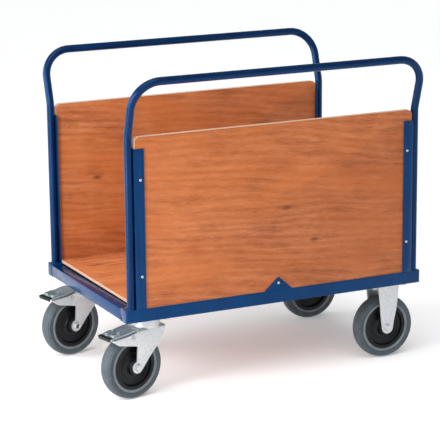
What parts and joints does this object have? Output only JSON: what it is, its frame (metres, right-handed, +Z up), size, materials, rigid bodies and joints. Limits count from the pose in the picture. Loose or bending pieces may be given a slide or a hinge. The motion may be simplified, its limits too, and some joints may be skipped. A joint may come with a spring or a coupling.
{
  "type": "two-sided platform truck",
  "caption": "Platform truck with a wooden deck, wooden side walls under leaning tube bows, braked swivel castors at one end and fixed castors at the other.",
  "frame": {"origin": "on the floor under the middle of the frame", "axes": "+X along the truck towards the fixed castors, +Y across it towards the far side, +Z up"},
  "size_m": [1.0707, 0.7312, 0.973],
  "materials": {
    "blue_enamel": "gloss blue stoving enamel on welded steel",
    "laminated_board": "clear lacquered beech-tone board with horizontal grain and pale cut edges",
    "zinc_plate": "bright zinc plated pressed steel",
    "bright_steel": "plain turned steel",
    "black_plastic": "moulded black polyamide",
    "black_rubber": "matt black rubber",
    "grey_tyre": "non-marking grey solid rubber"
  },
  "bodies": {
    "truck": {"rail_near": "blue_enamel", "rail_far": "blue_enamel", "rail_caps": "blue_enamel", "end_rail_left": "blue_enamel", "end_rail_right": "blue_enamel", "castor_carrier_left": "blue_enamel", "castor_carrier_right": "blue_enamel", "cross_member": "blue_enamel", "deck_board": "laminated_board", "deck_screws": "bright_steel", "wall_near": "laminated_board", "wall_far": "laminated_board", "wall_screws": "zinc_plate", "uprights_near": "blue_enamel", "uprights_far": "blue_enamel", "wall_tabs": "blue_enamel", "bow_near": "blue_enamel", "bow_far": "blue_enamel", "swivel_plates": "zinc_plate", "king_pins": "bright_steel", "castor_bolts": "zinc_plate", "castor_nuts": "zinc_plate", "fixed_fork_near": "zinc_plate", "fixed_fork_far": "zinc_plate", "fixed_axle_bolts": "zinc_plate", "fixed_axle_nuts": "zinc_plate", "fixed_axle_tubes": "bright_steel"},
    "swivel_head_near": {"swivel_fork_near": "zinc_plate", "balls_near": "bright_steel", "axle_bolt_near": "zinc_plate", "axle_nut_near": "zinc_plate", "axle_tube_near": "bright_steel", "pedal_pin_near": "bright_steel"},
    "brake_pedal_near": {"pedal_near": "zinc_plate", "pedal_grip_near": "black_rubber", "brake_shoe_near": "black_rubber"},
    "wheel_swivel_near": {"tyre_swivel_near": "grey_tyre", "centre_swivel_near": "black_plastic", "bearing_swivel_near": "bright_steel"},
    "wheel_fixed_near": {"tyre_fixed_near": "grey_tyre", "centre_fixed_near": "black_plastic", "bearing_fixed_near": "bright_steel"},
    "swivel_head_far": {"swivel_fork_far": "zinc_plate", "balls_far": "bright_steel", "axle_bolt_far": "zinc_plate", "axle_nut_far": "zinc_plate", "axle_tube_far": "bright_steel", "pedal_pin_far": "bright_steel"},
    "brake_pedal_far": {"pedal_far": "zinc_plate", "pedal_grip_far": "black_rubber", "brake_shoe_far": "black_rubber"},
    "wheel_swivel_far": {"tyre_swivel_far": "grey_tyre", "centre_swivel_far": "black_plastic", "bearing_swivel_far": "bright_steel"},
    "wheel_fixed_far": {"tyre_fixed_far": "grey_tyre", "centre_fixed_far": "black_plastic", "bearing_fixed_far": "bright_steel"}
  },
  "joints": [
    {"name": "swivel_near", "type": "hinge", "parent": "truck", "child": "swivel_head_near", "pos_m": [-0.408, -0.244, 0.2], "axis": [0, 0, 1], "continuous": true},
    {"name": "roll_swivel_near", "type": "hinge", "parent": "swivel_head_near", "child": "wheel_swivel_near", "pos_m": [-0.46159, -0.25637, 0.1], "axis": [-0.225, 0.9744, 0], "continuous": true},
    {"name": "press_pedal_near", "type": "hinge", "parent": "swivel_head_near", "child": "brake_pedal_near", "pos_m": [-0.47718, -0.25997, 0.197], "axis": [0.225, -0.9744, 0], "range_deg": [0, 10]},
    {"name": "roll_fixed_near", "type": "hinge", "parent": "truck", "child": "wheel_fixed_near", "pos_m": [0.408, -0.244, 0.1], "axis": [0, 1, 0], "continuous": true},
    {"name": "swivel_far", "type": "hinge", "parent": "truck", "child": "swivel_head_far", "pos_m": [-0.408, 0.244, 0.2], "axis": [0, 0, 1], "continuous": true},
    {"name": "roll_swivel_far", "type": "hinge", "parent": "swivel_head_far", "child": "wheel_swivel_far", "pos_m": [-0.46159, 0.23163, 0.1], "axis": [-0.225, 0.9744, 0], "continuous": true},
    {"name": "press_pedal_far", "type": "hinge", "parent": "swivel_head_far", "child": "brake_pedal_far", "pos_m": [-0.47718, 0.22803, 0.197], "axis": [0.225, -0.9744, 0], "range_deg": [0, 10]},
    {"name": "roll_fixed_far", "type": "hinge", "parent": "truck", "child": "wheel_fixed_far", "pos_m": [0.408, 0.244, 0.1], "axis": [0, 1, 0], "continuous": true}
  ]
}
